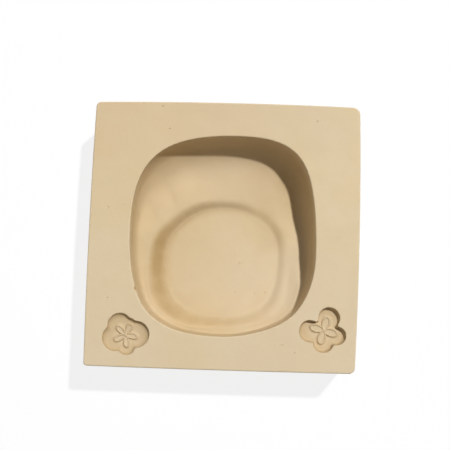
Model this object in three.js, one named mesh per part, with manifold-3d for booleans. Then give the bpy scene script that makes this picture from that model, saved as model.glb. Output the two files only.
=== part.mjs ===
// A silicone casting mould, poured in one piece: a square block with an open cavity for a
// small vessel, a foot pocket in the cavity's floor, and two clover recesses at the front.
// Millimetres, +Z up, origin at the middle of the flat underside, +Y towards the back.
import * as THREE from "three";
import Module from "manifold-3d";
import { mergeVertices } from "three/addons/utils/BufferGeometryUtils.js";

// The block. Its sides swell a little, as a cured pour does once it leaves its frame.
const BLOCK_WIDTH = 151.4;
const BLOCK_LENGTH = 150.4;
const BLOCK_HEIGHT = 42;
const LEFT_RIGHT_BOW = 0.9;
const BACK_FRONT_BOW = 0.6;
const PLAN_CORNER = 3;
const TOP_EDGE_ROUND = 1.4;
const BASE_EDGE_ROUND = 0.8;

// The cavity's rim in the top face: how far it reaches from the block's centre line on each
// side, and where along that side its outermost point lies.
const RIM_LEFT = 52.3;
const RIM_RIGHT = 51.8;
const RIM_BACK = 55.7;
const RIM_FRONT = 56.2;
const RIM_LEFT_Y = 1.4;
const RIM_RIGHT_Y = -8.4;
const RIM_BACK_X = 6.5;
const RIM_FRONT_X = 0.3;
const RIM_ROUND = 0.7;

// How full each quarter of the rim is: 0.55 is a circle's arc, 1 a square corner.
const RIM_FULL_BACK_LEFT = 0.74;
const RIM_FULL_BACK_RIGHT = 0.8;
const RIM_FULL_FRONT_RIGHT = 0.665;
const RIM_FULL_FRONT_LEFT = 0.745;

// The wall: its run in plan from the rim to its foot, and the depth of its foot under the
// face. A high exponent keeps the wall steep and tightens the curve into the floor. Each list
// goes clockwise: left, back left, back, back right, right, front right, front, front left.
// The depths have one more value between each two of these.
const WALL_RUNS = [6, 20, 23, 19, 8, 3, 1.3, 2.4];
const WALL_DEPTHS = [
  17.5, 20.3, 23.5, 25.6, 26, 25.3, 25.1, 26.4, 23, 20.8, 20, 20.8, 21.5, 20.3, 19, 18,
];
const WALL_EXPONENTS = [3, 2, 2.3, 2.3, 2.7, 3, 3, 3];

// The foot pocket: a flat rounded disc, sunk under the floor inside a soft shoulder, whose
// upper edge has runs outwards from the disc and depths of its own, in the same order.
// The shoulder takes at most its share of the way from the foot to the rim, and the wall at
// most its own of the way back.
const FOOT_LEFT = 34.9;
const FOOT_RIGHT = 32.3;
const FOOT_BACK = 18.1;
const FOOT_FRONT = 46.4;
const FOOT_LEFT_Y = -11.3;
const FOOT_RIGHT_Y = -9.9;
const FOOT_BACK_X = -1;
const FOOT_FRONT_X = -3;
const FOOT_FULL_BACK_LEFT = 0.5;
const FOOT_FULL_BACK_RIGHT = 0.57;
const FOOT_FULL_FRONT_RIGHT = 0.76;
const FOOT_FULL_FRONT_LEFT = 0.67;
const FOOT_DEPTH = 28.5;
const SHOULDER_RUNS = [9.5, 6.5, 5, 5.5, 5.5, 5, 5, 11.5];
const SHOULDER_DEPTHS = [18.5, 22.5, 25.1, 25.6, 26.3, 26.5, 25, 20];
const SHOULDER_SHARE = 0.72;
const SHOULDER_POWER = 2;
const WALL_SHARE = 0.62;

// The two clover recesses in the front corners of the top face, for small tags cast beside
// the vessel. Each is a round core joined by lobes, each lobe an x, a y and a radius.
const CLOVER_EDGE_ROUND = 0.5;
const LEFT_CLOVER = {
  x: -52.5,
  y: -57.5,
  core: 6,
  lobes: [
    [-55.5, -52.1, 7.1],
    [-46.4, -57.5, 7.4],
    [-51.5, -63.9, 4.8],
    [-57.8, -59.3, 7.1],
  ],
  depth: 3.4,
  wallRun: 3,
};
const RIGHT_CLOVER = {
  x: 57.3,
  y: -51.5,
  core: 6.2,
  lobes: [
    [59.9, -44.5, 6],
    [64.1, -54.2, 5.2],
    [56.8, -58.3, 5.4],
    [49.5, -52.1, 6],
  ],
  depth: 4,
  wallRun: 1.3,
};

// How finely the curves are cut, how often they are smoothed, how far the cutting forms
// stand over the face, and how near two points are to be one.
const QUARTER_STEPS = 20;
const SIDE_STEPS = 10;
const CORNER_STEPS = 4;
const LOBE_STEPS = 72;
const ROUND_STEPS = 3;
const WALL_STEPS = 10;
const FLOOR_STEPS = 3;
const SHOULDER_STEPS = 6;
const SWEEP_SMOOTHINGS = 2;
const LOBE_SMOOTHINGS = 2;
const STAND_OVER = 2;
const SAME_POINT = 1e-4;

const TOP = BLOCK_HEIGHT;
const SILICONE = { color: 0xdcc7a0, roughness: 0.78, metalness: 0 };

const wasm = await Module();
wasm.setup();

// A closed outline at one height, through its outermost points left, back, right and front.
// Each quarter between two of them is one smooth curve.
function roundedOutline({ left, back, right, front, full, height }) {
  const quarters = [
    { from: left, to: back, fullness: full.backLeft, leavesAlongY: true },
    { from: back, to: right, fullness: full.backRight, leavesAlongY: false },
    { from: right, to: front, fullness: full.frontRight, leavesAlongY: true },
    { from: front, to: left, fullness: full.frontLeft, leavesAlongY: false },
  ];
  return quarters.flatMap(({ from, to, fullness, leavesAlongY }) => {
    const start = new THREE.Vector2(from.x, from.y);
    const end = new THREE.Vector2(to.x, to.y);
    const reach = end.clone().sub(start).multiplyScalar(fullness);
    const firstHandle = start.clone();
    const lastHandle = end.clone();
    if (leavesAlongY) {
      firstHandle.y += reach.y;
      lastHandle.x -= reach.x;
    } else {
      firstHandle.x += reach.x;
      lastHandle.y -= reach.y;
    }
    const curve = new THREE.CubicBezierCurve(start, firstHandle, lastHandle, end);
    return curve
      .getPoints(QUARTER_STEPS)
      .slice(0, QUARTER_STEPS)
      .map((point) => new THREE.Vector3(point.x, point.y, height));
  });
}

// One value for each point of such an outline, easing from each of the listed stops to the
// next. The stops are evenly spread.
function around(stops) {
  const stepsBetween = (4 * QUARTER_STEPS) / stops.length;
  return stops.flatMap((value, stop) => {
    const following = stops[(stop + 1) % stops.length];
    return Array.from({ length: stepsBetween }, (unused, step) => {
      const eased = THREE.MathUtils.smoothstep(step / stepsBetween, 0, 1);
      return THREE.MathUtils.lerp(value, following, eased);
    });
  });
}

// An outline part of the way from one to another: a run towards it in plan, limited to a
// share of the way, and a depth of its own under the top face.
function partWay(outline, target, { runs, largestShare, depths }) {
  return outline.map((point, i) => {
    const gap = new THREE.Vector2(target[i].x - point.x, target[i].y - point.y);
    gap.multiplyScalar(Math.min(runs[i] / gap.length(), largestShare));
    return new THREE.Vector3(point.x + gap.x, point.y + gap.y, TOP - depths[i]);
  });
}

// The same outline moved outwards in plan by a distance, and set at one height.
function grown(outline, distance, height) {
  return outline.map((point, i) => {
    const before = outline.at(i - 1);
    const after = outline[(i + 1) % outline.length];
    const along = new THREE.Vector2(after.x - before.x, after.y - before.y).normalize();
    return new THREE.Vector3(
      point.x - along.y * distance,
      point.y + along.x * distance,
      height,
    );
  });
}

// Point by point between two outlines, each point with shares of its own in plan and height.
function between(first, second, planShares, heightShares) {
  return first.map((point, i) => {
    const other = second[i];
    return new THREE.Vector3(
      THREE.MathUtils.lerp(point.x, other.x, planShares[i]),
      THREE.MathUtils.lerp(point.y, other.y, planShares[i]),
      THREE.MathUtils.lerp(point.z, other.z, heightShares[i]),
    );
  });
}

// A stack of outlines with each one, save the first and the last, moved halfway to the
// middle between its neighbours.
function smoothed(outlines) {
  return outlines.map((outline, level) => {
    if (level === 0 || level === outlines.length - 1) return outline;
    const above = outlines[level - 1];
    const below = outlines[level + 1];
    return outline.map((point, i) => {
      const middle = above[i].clone().lerp(below[i], 0.5);
      return point.clone().lerp(middle, 0.5);
    });
  });
}

// A closed skin over a stack of outlines, with a fan of triangles on each end. The stack
// runs from the top down, and each outline runs clockwise seen from above.
function loft(outlines) {
  const count = outlines[0].length;
  const positions = outlines.flat().flatMap((point) => point.toArray());
  const faces = [];
  outlines.slice(1).forEach((unused, level) => {
    for (let i = 0; i < count; i += 1) {
      const next = (i + 1) % count;
      const upper = level * count;
      const lower = upper + count;
      faces.push(upper + i, upper + next, lower + i);
      faces.push(upper + next, lower + next, lower + i);
    }
  });
  const addCap = (outline, firstIndex, upwards) => {
    const middle = new THREE.Vector3();
    outline.forEach((point) => middle.addScaledVector(point, 1 / count));
    const middleIndex = positions.length / 3;
    positions.push(...middle.toArray());
    for (let i = 0; i < count; i += 1) {
      const next = (i + 1) % count;
      if (upwards) faces.push(middleIndex, firstIndex + next, firstIndex + i);
      else faces.push(middleIndex, firstIndex + i, firstIndex + next);
    }
  };
  addCap(outlines[0], 0, true);
  addCap(outlines.at(-1), (outlines.length - 1) * count, false);
  const geometry = new THREE.BufferGeometry();
  geometry.setAttribute("position", new THREE.Float32BufferAttribute(positions, 3));
  geometry.setIndex(faces);
  return geometry;
}

function solidOf(geometry) {
  const merged = mergeVertices(geometry, SAME_POINT);
  return new wasm.Manifold(
    new wasm.Mesh({
      numProp: 3,
      vertProperties: merged.attributes.position.array,
      triVerts: new Uint32Array(merged.index.array),
    }),
  );
}

function geometryOf(solid) {
  const { numProp, vertProperties, triVerts } = solid.getMesh();
  const geometry = new THREE.BufferGeometry();
  const positions = [];
  for (let i = 0; i < vertProperties.length; i += numProp) {
    positions.push(vertProperties[i], vertProperties[i + 1], vertProperties[i + 2]);
  }
  geometry.setAttribute("position", new THREE.Float32BufferAttribute(positions, 3));
  geometry.setIndex([...triVerts]);
  geometry.computeVertexNormals();
  return geometry;
}

// The block's plan, clockwise from above: four bowed sides joined by small round corners.
function blockPlan(inset, height) {
  const halfWidth = BLOCK_WIDTH / 2 - inset;
  const halfLength = BLOCK_LENGTH / 2 - inset;
  const points = [];
  for (let side = 0; side < 4; side += 1) {
    const isBackOrFront = side % 2 === 0;
    const bow = isBackOrFront ? BACK_FRONT_BOW : LEFT_RIGHT_BOW;
    const out = (isBackOrFront ? halfLength : halfWidth) - bow;
    const endBow = isBackOrFront ? LEFT_RIGHT_BOW : BACK_FRONT_BOW;
    const end = (isBackOrFront ? halfWidth : halfLength) - endBow - PLAN_CORNER;
    const turn = (-side * Math.PI) / 2;
    const addPoint = (x, y) => {
      const point = new THREE.Vector2(x, y).rotateAround(new THREE.Vector2(), turn);
      points.push(new THREE.Vector3(point.x, point.y, height));
    };
    for (let step = 0; step <= SIDE_STEPS; step += 1) {
      const along = THREE.MathUtils.lerp(-1, 1, step / SIDE_STEPS);
      addPoint(along * end, out + bow * (1 - along * along));
    }
    for (let step = 1; step < CORNER_STEPS; step += 1) {
      const angle = (step / CORNER_STEPS) * (Math.PI / 2);
      addPoint(end + PLAN_CORNER * Math.sin(angle), out - PLAN_CORNER * (1 - Math.cos(angle)));
    }
  }
  return points;
}

// The block, its top and bottom edges rounded over.
function makeBlock() {
  const levels = [];
  for (let step = 0; step <= ROUND_STEPS; step += 1) {
    const angle = (step / ROUND_STEPS) * (Math.PI / 2);
    const inset = TOP_EDGE_ROUND * (1 - Math.sin(angle));
    levels.push(blockPlan(inset, TOP - TOP_EDGE_ROUND * (1 - Math.cos(angle))));
  }
  for (let step = 0; step <= ROUND_STEPS; step += 1) {
    const angle = (step / ROUND_STEPS) * (Math.PI / 2);
    const inset = BASE_EDGE_ROUND * (1 - Math.cos(angle));
    levels.push(blockPlan(inset, BASE_EDGE_ROUND * (1 - Math.sin(angle))));
  }
  return solidOf(loft(levels));
}

// What the vessel fills: steep walls that curve into a sweeping floor, a soft shoulder, and
// the flat foot pocket.
function makeCavity() {
  const rim = roundedOutline({
    left: { x: -RIM_LEFT, y: RIM_LEFT_Y },
    back: { x: RIM_BACK_X, y: RIM_BACK },
    right: { x: RIM_RIGHT, y: RIM_RIGHT_Y },
    front: { x: RIM_FRONT_X, y: -RIM_FRONT },
    full: {
      backLeft: RIM_FULL_BACK_LEFT,
      backRight: RIM_FULL_BACK_RIGHT,
      frontRight: RIM_FULL_FRONT_RIGHT,
      frontLeft: RIM_FULL_FRONT_LEFT,
    },
    height: TOP - RIM_ROUND,
  });
  const foot = roundedOutline({
    left: { x: -FOOT_LEFT, y: FOOT_LEFT_Y },
    back: { x: FOOT_BACK_X, y: FOOT_BACK },
    right: { x: FOOT_RIGHT, y: FOOT_RIGHT_Y },
    front: { x: FOOT_FRONT_X, y: -FOOT_FRONT },
    full: {
      backLeft: FOOT_FULL_BACK_LEFT,
      backRight: FOOT_FULL_BACK_RIGHT,
      frontRight: FOOT_FULL_FRONT_RIGHT,
      frontLeft: FOOT_FULL_FRONT_LEFT,
    },
    height: TOP - FOOT_DEPTH,
  });
  const wallFoot = partWay(rim, foot, {
    runs: around(WALL_RUNS),
    largestShare: WALL_SHARE,
    depths: around(WALL_DEPTHS),
  });
  const shoulder = partWay(foot, rim, {
    runs: around(SHOULDER_RUNS),
    largestShare: SHOULDER_SHARE,
    depths: around(SHOULDER_DEPTHS),
  });
  const levels = [grown(rim, RIM_ROUND, TOP + STAND_OVER)];
  for (let step = 0; step < ROUND_STEPS; step += 1) {
    const angle = (step / ROUND_STEPS) * (Math.PI / 2);
    const outwards = RIM_ROUND * (1 - Math.sin(angle));
    levels.push(grown(rim, outwards, TOP - RIM_ROUND * (1 - Math.cos(angle))));
  }
  const exponents = around(WALL_EXPONENTS);
  let sweep = [];
  for (let step = 0; step <= WALL_STEPS; step += 1) {
    const angle = (step / WALL_STEPS) * (Math.PI / 2);
    const planShares = exponents.map((exponent) => 1 - Math.cos(angle) ** (2 / exponent));
    const heightShares = exponents.map((exponent) => Math.sin(angle) ** (2 / exponent));
    sweep.push(between(rim, wallFoot, planShares, heightShares));
  }
  for (let step = 1; step < FLOOR_STEPS; step += 1) {
    const shares = rim.map(() => step / FLOOR_STEPS);
    sweep.push(between(wallFoot, shoulder, shares, shares));
  }
  for (let step = 0; step <= SHOULDER_STEPS; step += 1) {
    const planShares = rim.map(() => step / SHOULDER_STEPS);
    const heightShares = planShares.map((share) => share ** SHOULDER_POWER);
    sweep.push(between(shoulder, foot, planShares, heightShares));
  }
  for (let pass = 0; pass < SWEEP_SMOOTHINGS; pass += 1) sweep = smoothed(sweep);
  return solidOf(loft([...levels, ...sweep]));
}

// One clover recess: a core and its lobes in one outline, which is smoothed where they meet,
// with walls that curve into a flat floor.
function makeClover({ x, y, core, lobes, depth, wallRun }) {
  const headings = [];
  let reaches = [];
  for (let step = 0; step < LOBE_STEPS; step += 1) {
    const angle = (-2 * Math.PI * step) / LOBE_STEPS;
    const heading = new THREE.Vector2(Math.cos(angle), Math.sin(angle));
    const lobeReaches = lobes.map(([lobeX, lobeY, radius]) => {
      const toLobe = new THREE.Vector2(lobeX - x, lobeY - y);
      const along = toLobe.dot(heading);
      const across = toLobe.cross(heading);
      return Math.abs(across) < radius ? along + Math.sqrt(radius ** 2 - across ** 2) : 0;
    });
    headings.push(heading);
    reaches.push(Math.max(core, ...lobeReaches));
  }
  for (let pass = 0; pass < LOBE_SMOOTHINGS; pass += 1) {
    const before = reaches;
    reaches = before.map((reach, i) => {
      const following = before[(i + 1) % before.length];
      return (before.at(i - 1) + 2 * reach + following) / 4;
    });
  }
  const outlineAt = (scale, height) =>
    headings.map((heading, i) => {
      const reach = reaches[i] * scale;
      return new THREE.Vector3(x + heading.x * reach, y + heading.y * reach, height);
    });
  const outline = outlineAt(1, TOP);
  const levels = [grown(outline, CLOVER_EDGE_ROUND, TOP + STAND_OVER)];
  for (let step = 0; step < ROUND_STEPS; step += 1) {
    const angle = (step / ROUND_STEPS) * (Math.PI / 2);
    const outwards = CLOVER_EDGE_ROUND * (1 - Math.sin(angle));
    levels.push(grown(outline, outwards, TOP - CLOVER_EDGE_ROUND * (1 - Math.cos(angle))));
  }
  const longestReach = Math.max(...reaches);
  for (let step = 0; step <= ROUND_STEPS; step += 1) {
    const angle = (step / ROUND_STEPS) * (Math.PI / 2);
    const scale = 1 - (wallRun * (1 - Math.cos(angle))) / longestReach;
    const down = THREE.MathUtils.lerp(CLOVER_EDGE_ROUND, depth, Math.sin(angle));
    levels.push(outlineAt(scale, TOP - down));
  }
  return solidOf(loft(levels));
}

const block = makeBlock();
const cavity = makeCavity();
const leftClover = makeClover(LEFT_CLOVER);
const rightClover = makeClover(RIGHT_CLOVER);
const mould = block.subtract(cavity).subtract(leftClover).subtract(rightClover);

const moldBlock = new THREE.Mesh(
  geometryOf(mould),
  new THREE.MeshStandardMaterial(SILICONE),
);
moldBlock.name = "mold_block";

const part = new THREE.Group();
part.add(moldBlock);

export default part;
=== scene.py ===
# A silicone casting mould, poured in one piece, lying on a white table and seen from above.
import math

import bmesh
import bpy
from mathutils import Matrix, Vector, geometry, noise


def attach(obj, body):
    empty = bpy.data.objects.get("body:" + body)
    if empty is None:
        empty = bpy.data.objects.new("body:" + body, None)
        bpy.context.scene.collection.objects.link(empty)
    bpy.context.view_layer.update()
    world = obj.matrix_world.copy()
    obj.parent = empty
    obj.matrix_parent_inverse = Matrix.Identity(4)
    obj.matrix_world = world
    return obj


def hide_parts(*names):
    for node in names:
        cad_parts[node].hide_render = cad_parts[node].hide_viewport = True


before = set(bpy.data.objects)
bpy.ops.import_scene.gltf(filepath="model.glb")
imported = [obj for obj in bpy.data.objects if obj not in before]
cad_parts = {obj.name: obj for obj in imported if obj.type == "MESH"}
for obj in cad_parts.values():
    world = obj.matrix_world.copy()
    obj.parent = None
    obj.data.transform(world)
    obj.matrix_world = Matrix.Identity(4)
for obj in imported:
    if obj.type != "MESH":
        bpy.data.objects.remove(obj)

scene = bpy.context.scene
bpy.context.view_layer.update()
MM = 0.001


# The camera. It hangs less than half a metre over the block and looks almost straight down,
# a little from the front and turned by two degrees, as a hand-held phone is.
camera = bpy.data.objects.new("camera", bpy.data.cameras.new("camera"))
camera.data.lens = 64
camera.data.sensor_width = 36
camera.location = (0.0109, -0.0404, 0.486)
camera.rotation_euler = [math.radians(angle) for angle in (5.89, 1.11, 1.86)]
scene.collection.objects.link(camera)
scene.camera = camera


# The block. One pour of soft beige silicone round a model, cured in a square frame and let
# out of it, so the sides swell a little and the edges are soft. Drawn in millimetres.
mould = bmesh.new()
# Masks for painted shade with casting residue, for wear with painted light, and for painted shade
# over the face.
shade_and_residue = mould.verts.layers.float.new("shade_and_residue")
wear_and_painted_light = mould.verts.layers.float.new("wear_and_painted_light")
painted_shade_tone = mould.verts.layers.float.new("painted_shade_tone")
HEIGHT = 42
TOP_EDGE_ROUND = 0.8
BASE_EDGE_ROUND = 0.8
# Clockwise from the back left: where each corner of the plan would meet if it were sharp,
# and its radius. Then how far the back, right, front and left sides bow out.
CORNERS = (
    (Vector((-74.55, 73.55)), 2.8),
    (Vector((75.3, 74.15)), 4.2),
    (Vector((74.45, -74.6)), 3.4),
    (Vector((-74.8, -75.0)), 1.9),
)
SIDE_BOWS = (1.0, 1.05, 0.3, 0.7)
SIDE_STEPS = 48
CORNER_STEPS = 8
TOP_EDGE_STEPS = 8
BASE_EDGE_STEPS = 5
SIDE_HEIGHTS = (40, 37, 33, 29, 25, 21, 17, 13, 9, 5, 2, 1.2)


def start_loop(points):
    """A closed loop of edges through the points."""
    loop = list(bmesh.ops.create_circle(mould, segments=len(points), radius=1)["verts"])
    for vert, point in zip(loop, points):
        vert.co = point
    return loop


def loop_edges(loop):
    return [mould.edges.get((first, second)) for first, second in zip(loop, loop[1:] + loop[:1])]


def next_loop(loop, points):
    """Draw a loop's edges out to the next points, which leaves a band of faces between."""
    drawn = bmesh.ops.extrude_edge_only(mould, edges=loop_edges(loop))["geom"]
    new = {item for item in drawn if isinstance(item, bmesh.types.BMVert)}
    following = []
    for vert, point in zip(loop, points):
        mates = [edge.other_vert(vert) for edge in vert.link_edges]
        mate = next(other for other in mates if other in new)
        mate.co = point
        following.append(mate)
    return following


def smooth(share):
    share = min(max(share, 0), 1)
    return share * share * (3 - 2 * share)


def mark(loop, layer, amount):
    for vert in loop:
        vert[layer] = amount


def grown(points, distance, height):
    """A clockwise outline moved outwards in plan, at one height."""
    moved = []
    for i, point in enumerate(points):
        along = points[(i + 1) % len(points)] - points[i - 1]
        along.z = 0
        along.normalize()
        moved.append(
            Vector((point.x - along.y * distance, point.y + along.x * distance, height))
        )
    return moved


def block_plan(inset, height):
    """The block's plan, clockwise: four bowed sides, not quite square, with round corners."""
    outward = Vector((0, 1))
    points = []
    for side, bow in enumerate(SIDE_BOWS):
        along = Vector((outward.y, -outward.x))
        corner, radius = CORNERS[side]
        start = corner - outward * inset + along * (inset + radius)
        corner, radius = CORNERS[(side + 1) % 4]
        end = corner - outward * inset - along * (inset + radius)
        for step in range(SIDE_STEPS + 1):
            share = step / SIDE_STEPS
            points.append(start.lerp(end, share) + outward * bow * 4 * share * (1 - share))
        for step in range(1, CORNER_STEPS):
            angle = math.pi / 2 * step / CORNER_STEPS
            swing = outward * (math.cos(angle) - 1) + along * math.sin(angle)
            points.append(end + swing * radius)
        outward = along
    return [Vector((point.x, point.y, height)) for point in points]


top_loop = start_loop(block_plan(TOP_EDGE_ROUND + 0.6, HEIGHT))
band = next_loop(top_loop, block_plan(TOP_EDGE_ROUND + 0.2, HEIGHT))
for step in range(TOP_EDGE_STEPS + 1):
    angle = step / TOP_EDGE_STEPS * math.pi / 2
    inset = TOP_EDGE_ROUND * (1 - math.sin(angle))
    band = next_loop(band, block_plan(inset, HEIGHT - TOP_EDGE_ROUND * (1 - math.cos(angle))))
    # Paler along the middle of the rounding: wear and painted highlight.
    mark(band, wear_and_painted_light, 0.5 * math.sin(2 * angle))
for height in SIDE_HEIGHTS:
    band = next_loop(band, block_plan(0, height))
    mark(band, wear_and_painted_light, 0)
for step in range(BASE_EDGE_STEPS + 1):
    angle = step / BASE_EDGE_STEPS * math.pi / 2
    inset = BASE_EDGE_ROUND * (1 - math.cos(angle))
    band = next_loop(band, block_plan(inset, BASE_EDGE_ROUND * (1 - math.sin(angle))))
band = next_loop(band, block_plan(BASE_EDGE_ROUND + 0.5, 0))
base_loop = next_loop(band, block_plan(BASE_EDGE_ROUND + 2.5, 0))


# The cavity, left by the model: an uneven rounded rim, steep walls that sweep into the
# floor, and a soft shoulder down to the sunken disc where the cast vessel's foot forms.
QUARTER = 96
RIM_ROUND = 0.7
RIM_STEPS = 6
FOOT_DEPTH = 28.5
WALL_STEPS = 24
FLOOR_STEPS = 12
SLOPE_STEPS = 16
RELAX_TURNS = 14
RELAX_FROM = 10


def rounded_outline(left, back, right, front, full, height):
    """Through the outermost points, each quarter between two of them one smooth curve."""
    ends = [Vector(point) for point in (left, back, right, front)]
    points = []
    for quarter, fullness in enumerate(full):
        start = ends[quarter]
        end = ends[(quarter + 1) % 4]
        reach = (end - start) * fullness
        if quarter % 2 == 0:
            handles = start + Vector((0, reach.y)), end - Vector((reach.x, 0))
        else:
            handles = start + Vector((reach.x, 0)), end - Vector((0, reach.y))
        curve = geometry.interpolate_bezier(start, *handles, end, QUARTER + 1)
        points += [Vector((point[0], point[1], height)) for point in curve[:-1]]
    return points


def around(*stops):
    """One value for each point of an outline, easing from each stop to the next. The stops
    are evenly spread and go clockwise from the left."""
    steps_between = 4 * QUARTER // len(stops)
    values = []
    for first, second in zip(stops, stops[1:] + stops[:1]):
        for step in range(steps_between):
            values.append(first + (second - first) * smooth(step / steps_between))
    return values


def part_way(outline, target, runs, largest_share, depths):
    """From one outline towards another by a run in plan, at depths of its own."""
    points = []
    for point, goal, run, depth in zip(outline, target, runs, depths):
        gap = Vector((goal.x - point.x, goal.y - point.y, 0))
        gap *= min(run / gap.length, largest_share)
        points.append(Vector((point.x + gap.x, point.y + gap.y, HEIGHT - depth)))
    return points


def between(first, second, plan_share, height_share):
    shares = Vector((plan_share, plan_share, height_share))
    return [a + (b - a) * shares for a, b in zip(first, second)]


rim = rounded_outline(
    left=(-52.3, 1.4),
    back=(6.5, 55.7),
    right=(51.8, -8.4),
    front=(0.3, -56.2),
    full=(0.74, 0.8, 0.665, 0.745),
    height=HEIGHT - RIM_ROUND,
)
# The rim strays a little from those four curves, as the model that left it did.
strays = around(0, 0.1, 0, -0.15, -0.1, 0, 0, -0.3, -0.1, -0.1, 0.2, -0.2, 0.5, 0.6, 0.6, -0.1)
for point, stray in zip(rim, strays):
    point.xy += point.xy.normalized() * stray
foot = rounded_outline(
    left=(-34.9, -11.3),
    back=(-1, 18.1),
    right=(32.3, -9.9),
    front=(-3, -46.4),
    full=(0.5, 0.6, 0.76, 0.69),
    height=HEIGHT - FOOT_DEPTH,
)
# The disc's edge wavers a little, and the wall and the floor end at depths of their own
# all the way round: deepest at the back right, shallowest at the left and front right.
for point in foot:
    wobble = 0.32 * noise.noise(point / 9) + 0.12 * noise.noise(point / 3)
    point.xy += Vector((point.x + 1.3, point.y + 13.4)).normalized() * wobble
wall_foot = part_way(
    rim,
    foot,
    runs=around(6, 20, 23, 19, 8, 3, 1.3, 2.4),
    largest_share=0.62,
    depths=around(
        17.5, 20.5, 24.3, 26.6, 25.8, 25.3, 27.0, 29.5, 23.6, 18.6, 18.6, 20.8, 21.5, 20.3, 19, 18
    ),
)
shoulder = part_way(
    foot,
    rim,
    runs=around(9.5, 6.5, 5, 5.5, 6, 8, 6, 11.5),
    largest_share=0.72,
    depths=around(18.5, 22.5, 25.1, 27.2, 25.4, 23.0, 25, 20),
)

# The wall falls along a rounded curve, softer at the back and tighter at the left and the
# front, the floor runs on from it, and the shoulder bends down to the disc's edge.
walls = []
powers = around(3, 2.15, 2.3, 2.3, 2.7, 3, 3, 3)
for step in range(WALL_STEPS + 1):
    angle = step / WALL_STEPS * math.pi / 2
    wall = []
    for top, bottom, power in zip(rim, wall_foot, powers):
        share = 1 - max(math.cos(angle), 0) ** (2 / power)
        down = math.sin(angle) ** (2 / power)
        wall.append(top + (bottom - top) * Vector((share, share, down)))
    walls.append(wall)
floors = []
for step in range(1, FLOOR_STEPS):
    share = step / FLOOR_STEPS
    floors.append(between(wall_foot, shoulder, share, share))
slopes = []
for step in range(SLOPE_STEPS + 1):
    share = step / SLOPE_STEPS
    slopes.append(between(shoulder, foot, share, share * share))
foot_floor = HEIGHT - FOOT_DEPTH
foot_middle = Vector((8, -20, foot_floor))
insides = [
    [point.lerp(foot_middle, share) for point in foot]
    for share in (0.01, 0.02, 0.035, 0.05, 0.075, 0.1, 0.13)
]
sweep = walls + floors + slopes + insides
for turn in range(RELAX_TURNS):
    relaxed = list(sweep)
    for level in range(RELAX_FROM, len(sweep) - 2):
        relaxed[level] = [
            (above + 2 * here + below) / 4
            for above, here, below in zip(sweep[level - 1], sweep[level], sweep[level + 1])
        ]
    sweep = relaxed

rim_loop = start_loop(grown(rim, RIM_ROUND + 1.6, HEIGHT))
band = next_loop(rim_loop, grown(rim, RIM_ROUND + 0.25, HEIGHT))
for step in range(RIM_STEPS):
    angle = step / RIM_STEPS * math.pi / 2
    outwards = RIM_ROUND * (1 - math.sin(angle))
    band = next_loop(band, grown(rim, outwards, HEIGHT - RIM_ROUND * (1 - math.cos(angle))))
    # Paler along the middle of the rim's rounding: wear and painted highlight.
    mark(band, wear_and_painted_light, 0.5 * math.sin(2 * angle))

# Painted shade together with the film that past casts left, all the way round: on the wall, on
# the floor, gathered in the ring round the disc and just inside it. One stretch of floor at the
# front right is painted paler, as painted light.
wall_shade_and_residue = around(
    0.46, 0.36, 0.26, 0, 0.07, 0.34, 0.6, 0.46, 0.3, 0.18, 0.05, 0.16, 0.26, 0.3, 0.34, 0.4
)
floor_shade_and_residue = around(
    0.36, 0.36, 0.3, 0.3, 0.26, 0.3, 0.36, 0.42, 0.12, 0.02, 0.08, 0.22, 0.38, 0.42, 0.46, 0.4
)
ring_shade_and_residue = around(0.74, 0.3, 0.12, 0.25, 0.05, 0.12, 0.34, 0.48)
inner_shade_and_residue = around(0.85, 0.98, 0.66, 0.14, 0.03, 0.1, 0.22, 0.26)
painted_light_amounts = around(0, 0, 0, 0, 0, 0, 0, 0, 0.4, 1, 0.4, 0, 0, 0, 0, 0)
shoulder_level = len(walls) + len(floors)
for level, points in enumerate(sweep):
    band = next_loop(band, points)
    share = (level - shoulder_level + 2) / (len(slopes) + 2)
    gathered_shade = smooth(share / 0.45) * (1 - 0.5 * smooth((share - 0.6) / 0.4))
    amounts = ring_shade_and_residue
    if level >= len(sweep) - len(insides):
        gathered_shade = 0.55 * (len(sweep) - 1 - level) / len(insides)
        amounts = inner_shade_and_residue
    lower = smooth((level - 16) / 14)
    for i, vert in enumerate(band):
        shade_film = wall_shade_and_residue[i] + (floor_shade_and_residue[i] - wall_shade_and_residue[i]) * lower
        shade_film *= min(level / 6, 1) * (1 - 0.3 * smooth(share))
        # Painted shade with some casting residue on the wall, the floor and the ring round the
        # disc.
        vert[shade_and_residue] = shade_film + amounts[i] * gathered_shade
        # Painted light on the stretch of floor at the front right.
        vert[wear_and_painted_light] = painted_light_amounts[i] * smooth((level - 18) / 8) * smooth((52 - level) / 12)
foot_loop = band


# The two clover recesses, left by small flat tags laid beside the model: a shallow one with
# five full lobes and soft walls, and a deeper one with four round lobes and steep walls. A
# plain blossom in thin raised lines stands on each floor. Each recess is darkened with painted
# shade, most at its walls, and its edge carries a pale band of wear and painted highlight.
CLOVER_STEPS = 144
CLOVER_SOFTENING = 5
CLOVER_EDGE = 0.6
CLOVER_EDGE_STEPS = 6
CLOVER_WALL_STEPS = 12
CLOVER_RINGS = 44
PETAL_LINE_WIDTH = 0.7
MOTIF_HEIGHT = 1.2
CLOVER_DISHING = 0.5


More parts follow.
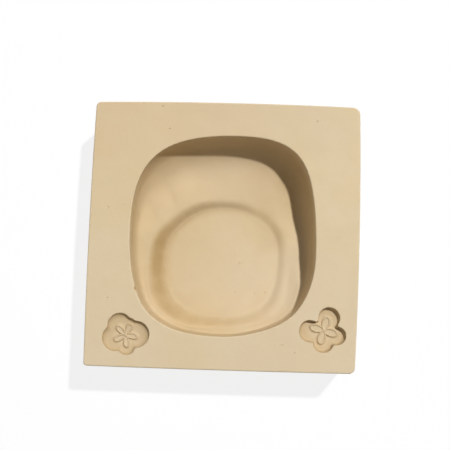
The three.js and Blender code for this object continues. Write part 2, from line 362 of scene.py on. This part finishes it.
def clover(middle, core, lobes, depth, wall_run, petals, petal_reach, turn):
    """One recess, drawn from its edge down the wall and in over the floor. Its outline is
    that of the round lobes together, with the notches between them softened."""
    reaches = []
    for step in range(CLOVER_STEPS):
        angle = -2 * math.pi * step / CLOVER_STEPS
        heading = Vector((math.cos(angle), math.sin(angle)))
        reach = core
        for x, y, radius in lobes:
            lobe = Vector((x, y)) - Vector(middle)
            along = lobe.dot(heading)
            beside = lobe.length_squared - along * along
            if beside < radius * radius:
                reach = max(reach, along + math.sqrt(radius * radius - beside))
        reaches.append(reach)
    for times in range(CLOVER_SOFTENING):
        reaches = [
            (before + 2 * here + after) / 4
            for before, here, after in zip(
                reaches[-1:] + reaches[:-1], reaches, reaches[1:] + reaches[:1]
            )
        ]
    centre = Vector((*middle, HEIGHT))
    outline = []
    for step, reach in enumerate(reaches):
        angle = -2 * math.pi * step / CLOVER_STEPS
        heading = Vector((math.cos(angle), math.sin(angle), 0))
        outline.append(centre + heading * (reach + 0.2 * noise.noise(centre + heading * 3)))

    def widened(distance, drop):
        wide = [point + (point - centre).normalized() * distance for point in outline]
        return [point - Vector((0, 0, drop)) for point in wide]

    opening = start_loop(widened(CLOVER_EDGE + 0.9, 0))
    band = next_loop(opening, widened(CLOVER_EDGE + 0.15, 0))
    for step in range(CLOVER_EDGE_STEPS):
        angle = step / CLOVER_EDGE_STEPS * math.pi / 2
        outwards = CLOVER_EDGE * (1 - math.sin(angle))
        band = next_loop(band, widened(outwards, CLOVER_EDGE * (1 - math.cos(angle))))
        # The rounded edge: a pale band of wear and painted highlight, and painted shade growing
        # towards the wall.
        mark(band, wear_and_painted_light, 0.25 * math.sin(2 * angle))
        mark(band, shade_and_residue, 0.1 * step)
    for step in range(CLOVER_WALL_STEPS + 1):
        angle = step / CLOVER_WALL_STEPS * math.pi / 2
        share = wall_run * (1 - math.cos(angle)) / max(reaches)
        down = CLOVER_EDGE + (depth - CLOVER_EDGE) * math.sin(angle)
        points = [point.lerp(centre, share) - Vector((0, 0, down)) for point in outline]
        band = next_loop(band, points)
        mark(band, wear_and_painted_light, 0)
        # Painted shade on the recess wall.
        mark(band, shade_and_residue, 0.6 - 0.1 * math.sin(angle) ** 8)
    for ring in range(1, CLOVER_RINGS):
        share = ring / CLOVER_RINGS
        level = []
        for point in points:
            spot = point.lerp(Vector((*middle, point.z)), share)
            out = (spot - centre).xy
            angle = math.atan2(out.y, out.x)
            # A raised line of even width runs round the petals, which stand half as high.
            petal = petal_reach * (0.64 + 0.36 * math.cos(petals * (angle - turn)))
            slant = petal_reach * 0.36 * petals * math.sin(petals * (angle - turn))
            aside = (out.length - petal) / math.hypot(1, slant / max(out.length, 1))
            stroke = math.exp(-((aside / PETAL_LINE_WIDTH) ** 2))
            eye = math.exp(-((out.length / 1.2) ** 4))
            fill = 0.5 * smooth(-aside / 0.8)
            dish = CLOVER_DISHING * (1 - (1 - share) ** 2)
            spot.z += MOTIF_HEIGHT * max(stroke, eye, fill) - dish
            level.append(spot)
        band = next_loop(band, level)
        # Painted shade on the recess floor, fading towards the middle.
        mark(band, shade_and_residue, 0.5 - 0.2 * smooth(share * 2.5))
    bmesh.ops.contextual_create(mould, geom=loop_edges(band))
    return opening


left_clover_loop = clover(
    middle=(-52.5, -57.5),
    core=6,
    lobes=(
        (-55.5, -52.5, 6.85),
        (-50.6, -52.6, 4.4),
        (-46.4, -57, 7.2),
        (-51.5, -63.7, 4.7),
        (-57.8, -59.3, 7.1),
    ),
    depth=3.2,
    wall_run=4,
    petals=5,
    petal_reach=6.5,
    turn=math.radians(-8),
)
right_clover_loop = clover(
    middle=(57.3, -51.5),
    core=6.2,
    lobes=((59.8, -44.7, 5.85), (64, -54.2, 5.1), (56.8, -58.3, 5.4), (49.5, -52.1, 6.0)),
    depth=3.8,
    wall_run=2.2,
    petals=4,
    petal_reach=7.4,
    turn=math.radians(75),
)


# Pinholes, where bubbles were trapped against the frame and the model: a few in the top
# face, and some shallow marks in the sunken disc.
def pinhole(x, y, radius, depth, face):
    circle = []
    for step in range(12):
        angle = -2 * math.pi * step / 12
        wide = radius * (1 + 0.25 * noise.noise(Vector((x + math.cos(angle), y, 5))))
        circle.append(Vector((wide * math.cos(angle), wide * math.sin(angle), 0)))
    mouth = start_loop([Vector((x, y, face)) + point * 1.9 for point in circle])
    band = next_loop(mouth, [Vector((x, y, face)) + point * 1.15 for point in circle])
    for share, drop in ((1.0, 0.1), (0.9, 0.5), (0.65, 0.85), (0.3, 1.0)):
        centre = Vector((x, y, face - depth * drop))
        band = next_loop(band, [centre + point * share for point in circle])
    bmesh.ops.contextual_create(mould, geom=loop_edges(band))
    return mouth


face_holes = [
    pinhole(x, y, radius, depth, HEIGHT)
    for x, y, radius, depth in (
        (-36.6, 71.8, 0.38, 0.8),
        (-32.1, 58.9, 0.35, 0.6),
        (-65.2, 13.1, 0.45, 0.6),
        (-56.7, 15.0, 0.35, 0.5),
        (-63.1, -37.5, 0.4, 0.7),
        (34.2, -60.2, 0.35, 0.5),
        (41.1, -64.4, 0.4, 0.4),
        (51.0, 65.4, 0.35, 0.5),
    )
]
disc_holes = [
    pinhole(x, y, radius, depth, foot_floor)
    for x, y, radius, depth in (
        (9.4, -14.4, 0.4, 0.6),
        (7.0, -31.8, 0.6, 0.2),
        (18.6, -32.1, 0.5, 0.2),
        (24.6, -31.3, 0.5, 0.25),
    )
]


def close_face(outer, holes, spacing):
    """Close a level face round its holes, and part it into a net that can follow a swell. The
    fill is told a slightly leaning normal, so that no edge lies along its sweep."""
    border = [edge for loop in [outer] + holes for edge in loop_edges(loop)]
    normal = Vector((0.01, 0.02, 1))
    net = bmesh.ops.triangle_fill(mould, use_beauty=True, edges=border, normal=normal)["geom"]
    reach = max(abs(vert.co.x) + abs(vert.co.y) for vert in outer)
    for across in (Vector((1, 0, 0)), Vector((0, 1, 0))):
        place = -reach
        while place < reach:
            faces = [item for item in net if isinstance(item, bmesh.types.BMFace)]
            edges = dict.fromkeys(edge for face in faces for edge in face.edges)
            verts = dict.fromkeys(vert for face in faces for vert in face.verts)
            net = bmesh.ops.bisect_plane(
                mould,
                geom=[*faces, *edges, *verts],
                dist=0.01,
                plane_co=across * place,
                plane_no=across,
            )["geom"]
            place += spacing


close_face(top_loop, [rim_loop, left_clover_loop, right_clover_loop] + face_holes, 5)
close_face(foot_loop, disc_holes, 5)
close_face(base_loop, [], 10)

# Small departures from the ideal form: a gentle swell of the top face, worn lower at its
# back right corner, sides that ripple and hold a little dust, a foot disc that isn't quite
# level and carries painted shade towards its left, and a nick in the rim where a bubble
# stood, its hollow darkened with painted shade. The back and the left are painted darker
# and warmer, painted shade for how the light falls.
FACE_SWELL = 0.16
FACE_RIPPLE = 0.04
CORNER_WEAR = 0.3
SIDE_RIPPLE = 0.002
SIDE_DUST = 0.12
FOOT_LIFT = 1.3
FOOT_TILT_RUN = 34
FOOT_RIPPLE = 0.12
RIM_NICK = Vector((-47.6, -31.7, 0))
NICK_RADIUS = 1.3
for vert in mould.verts:
    spot = Vector((vert.co.x, vert.co.y, 0))
    top_share = min(max((vert.co.z - 36) / 6, 0), 1)
    swell = FACE_SWELL * noise.noise(spot / 34) + FACE_RIPPLE * noise.noise(spot / 12)
    side_share = smooth((max(abs(spot.x), abs(spot.y)) - 71) / 3) * smooth((41 - vert.co.z) / 5)
    vert.co.xy *= 1 + SIDE_RIPPLE * side_share * noise.noise(vert.co / 17)
    if side_share:
        dust = smooth((14 - vert.co.z) / 12)
        patches = 1 + noise.noise(vert.co / 11)
        vert[shade_and_residue] = SIDE_DUST * side_share * patches * (1 + dust)
    back_right = max(0, (spot.x + spot.y - 92) / 50)
    vert.co.z += top_share * (swell - CORNER_WEAR * back_right * back_right)
    if spot.length < 60 and 5 < vert.co.z < 22:
        deep_share = min((22 - vert.co.z) / (22 - foot_floor), 1)
        tilt = FOOT_LIFT + (spot.x - spot.y - 12) / FOOT_TILT_RUN
        vert.co.z += deep_share * tilt
        if deep_share == 1:
            vert.co.z += FOOT_RIPPLE * noise.noise(spot / 14)
            # Painted shade over the disc, darker towards the left.
            aslant = 0.0002 * spot.x * (spot.y + 14)
            vert[shade_and_residue] = max(vert[shade_and_residue], 0.14 - 0.004 * spot.x - aslant)
    nick = max(0, 1 - (spot - RIM_NICK).length / NICK_RADIUS)
    if vert.co.z > 41 and nick > 0:
        vert.co += spot.normalized() * 0.4 * nick - Vector((0, 0, 0.9 * nick))
        # The nick's hollow is darkened with painted shade.
        vert[shade_and_residue] = smooth(nick * 2)
    # Painted shade: darker and warmer towards the back and the left, for how the light falls,
    # with random patches.
    backwards = smooth((spot.y + 15) / 90)
    vert[painted_shade_tone] = backwards * (0.7 - 0.45 * spot.x / 75) + 0.3 * noise.noise(spot / 40)

bmesh.ops.recalc_face_normals(mould, faces=mould.faces)
bmesh.ops.scale(mould, vec=(MM, MM, MM), verts=mould.verts)
mesh = bpy.data.meshes.new("silicone_block")
mould.to_mesh(mesh)
mould.free()
mesh.shade_smooth()
block = bpy.data.objects.new("silicone_block", mesh)
scene.collection.objects.link(block)
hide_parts("mold_block")
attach(block, "root")


# The silicone itself: matte and beige, mottled by how it was mixed and poured. Painted shade with
# some casting residue darkens the cavity, the ring round the foot, the recesses and the rim's
# nick; wear with painted highlight pales the rounded edges, painted light pales one stretch of
# the cavity floor, and painted shade darkens and warms the back and the left.
BEIGE = (0.71, 0.565, 0.345)
GREYER_BEIGE = (0.7, 0.565, 0.38)
PALE_BLOOM = (0.73, 0.61, 0.43)
DARK_SPECKS = (0.62, 0.48, 0.3)
# Warm shade painted over the back and the left, then pale wear with painted highlight.
WARM_SHADE = (0.62, 0.44, 0.23)
PALE_WEAR_AND_LIGHT = (0.78, 0.645, 0.45)
# Brown for painted shade together with casting residue.
SHADE_AND_RESIDUE_BROWN = (0.44, 0.295, 0.125)
silicone = bpy.data.materials.new("silicone")
silicone.use_nodes = True
nodes = silicone.node_tree.nodes
links = silicone.node_tree.links
shader = nodes["Principled BSDF"]
shader.inputs["IOR"].default_value = 1.41
place = nodes.new("ShaderNodeTexCoord").outputs["Object"]


def cloud(scale, detail):
    texture = nodes.new("ShaderNodeTexNoise")
    texture.inputs["Scale"].default_value = scale
    texture.inputs["Detail"].default_value = detail
    links.new(place, texture.inputs["Vector"])
    return texture.outputs["Fac"]


def ranged(value, low, high, out_low, out_high):
    spread = nodes.new("ShaderNodeMapRange")
    for name, number in zip(
        ("From Min", "From Max", "To Min", "To Max"), (low, high, out_low, out_high)
    ):
        spread.inputs[name].default_value = number
    links.new(value, spread.inputs["Value"])
    return spread.outputs["Result"]


def blended(factor, first, second):
    mix = nodes.new("ShaderNodeMix")
    mix.data_type = "RGBA"
    links.new(factor, mix.inputs["Factor"])
    for socket, colour in ((mix.inputs["A"], first), (mix.inputs["B"], second)):
        if isinstance(colour, tuple):
            socket.default_value = (*colour, 1)
        else:
            links.new(colour, socket)
    return mix.outputs["Result"]


def painted(name):
    attribute = nodes.new("ShaderNodeAttribute")
    attribute.attribute_name = name
    return attribute.outputs["Fac"]


def bumped(height, strength, distance, finer=None):
    bump = nodes.new("ShaderNodeBump")
    bump.inputs["Strength"].default_value = strength
    bump.inputs["Distance"].default_value = distance
    links.new(height, bump.inputs["Height"])
    if finer is not None:
        links.new(finer, bump.inputs["Normal"])
    return bump.outputs["Normal"]


colour = blended(ranged(cloud(18, 3), 0.3, 0.7, 0, 1), BEIGE, GREYER_BEIGE)
colour = blended(ranged(cloud(55, 4), 0.45, 0.75, 0, 0.35), colour, PALE_BLOOM)
colour = blended(ranged(cloud(900, 2), 0.3, 0.7, 0, 0.1), colour, DARK_SPECKS)
# Painted shade: the back and the left darker and warmer.
colour = blended(ranged(painted("painted_shade_tone"), 0, 1, 0, 0.42), colour, WARM_SHADE)
# Wear and painted light: paler rounded edges and a paler stretch of cavity floor.
colour = blended(ranged(painted("wear_and_painted_light"), 0, 1, 0, 0.6), colour, PALE_WEAR_AND_LIGHT)
# Painted shade with some casting residue, browner where the mask is high.
shade_stain_mix = nodes.new("ShaderNodeMath")
shade_stain_mix.operation = "MULTIPLY"
links.new(painted("shade_and_residue"), shade_stain_mix.inputs[0])
links.new(ranged(cloud(140, 3), 0.3, 0.7, 0.8, 1), shade_stain_mix.inputs[1])
colour = blended(shade_stain_mix.outputs["Value"], colour, SHADE_AND_RESIDUE_BROWN)
links.new(colour, shader.inputs["Base Color"])
links.new(ranged(cloud(90, 3), 0.3, 0.7, 0.66, 0.8), shader.inputs["Roughness"])

grain = bumped(cloud(1800, 3), strength=0.25, distance=0.00012)
waves = bumped(cloud(140, 3), strength=0.3, distance=0.0006, finer=grain)
links.new(waves, shader.inputs["Normal"])
block.data.materials.append(silicone)


# The white table, wide enough to fill the view, and the same white behind it. It shows the
# camera its own white, lit only in part, and so keeps a faint shadow of the block.
table = bmesh.new()
bmesh.ops.create_grid(table, x_segments=2, y_segments=2, size=3)
floor_mesh = bpy.data.meshes.new("table")
table.to_mesh(floor_mesh)
table.free()
floor_object = bpy.data.objects.new("table", floor_mesh)
scene.collection.objects.link(floor_object)
OWN_WHITE = 0.82


def looked_at(tree):
    """One where the camera looks, straight or by way of a gloss or clear body, else nought."""
    path = tree.nodes.new("ShaderNodeLightPath")
    seen = path.outputs["Is Camera Ray"]
    for ray in ("Is Glossy Ray", "Is Transmission Ray"):
        either = tree.nodes.new("ShaderNodeMath")
        either.operation = "MAXIMUM"
        tree.links.new(seen, either.inputs[0])
        tree.links.new(path.outputs[ray], either.inputs[1])
        seen = either.outputs["Value"]
    return seen


white = bpy.data.materials.new("table_white")
white.use_nodes = True
tree = white.node_tree
tree.nodes["Principled BSDF"].inputs["Base Color"].default_value = (0.86, 0.86, 0.86, 1)
tree.nodes["Principled BSDF"].inputs["Roughness"].default_value = 0.9
share = tree.nodes.new("ShaderNodeMath")
share.operation = "MULTIPLY"
share.inputs[1].default_value = OWN_WHITE
tree.links.new(looked_at(tree), share.inputs[0])
glow = tree.nodes.new("ShaderNodeEmission")
glow.inputs["Strength"].default_value = 1.03
lit_or_white = tree.nodes.new("ShaderNodeMixShader")
tree.links.new(share.outputs["Value"], lit_or_white.inputs[0])
tree.links.new(tree.nodes["Principled BSDF"].outputs["BSDF"], lit_or_white.inputs[1])
tree.links.new(glow.outputs["Emission"], lit_or_white.inputs[2])
tree.links.new(
    lit_or_white.outputs["Shader"], tree.nodes["Material Output"].inputs["Surface"]
)
floor_mesh.materials.append(white)

ROOM_LIGHT = 0.06
world = bpy.data.worlds.new("room")
scene.world = world
world.use_nodes = True
tree = world.node_tree
level = tree.nodes.new("ShaderNodeMapRange")
level.inputs["To Min"].default_value = ROOM_LIGHT
level.inputs["To Max"].default_value = 1
tree.links.new(looked_at(tree), level.inputs["Value"])
tree.links.new(level.outputs["Result"], tree.nodes["Background"].inputs["Strength"])
tree.nodes["Background"].inputs["Color"].default_value = (1, 1, 1, 1)


# The light: one small lamp, high over the back right corner, whose crisp shadow falls into
# the cavity, and a wide weak one from the left. The room's own pale light fills the rest.
def lamp(name, direction, height, distance, size, level):
    """A round lamp aimed at the block, with the power that lights a flat face to that level."""
    data = bpy.data.lights.new(name, "AREA")
    data.shape = "DISK"
    data.size = size
    up = math.radians(height)
    round_ = math.radians(direction)
    data.energy = level * (math.pi * distance) ** 2 / math.sin(up)
    lamp_object = bpy.data.objects.new(name, data)
    towards = Vector(
        (math.cos(up) * math.cos(round_), math.cos(up) * math.sin(round_), math.sin(up))
    )
    lamp_object.location = Vector((0, 0, HEIGHT * MM)) + towards * distance
    lamp_object.rotation_euler = towards.to_track_quat("Z", "Y").to_euler()
    scene.collection.objects.link(lamp_object)


lamp("key_lamp", direction=48, height=61.3, distance=3.5, size=0.15, level=0.86)
lamp("left_lamp", direction=185, height=40, distance=1.3, size=0.9, level=0.06)
scene.view_settings.view_transform = "Standard"
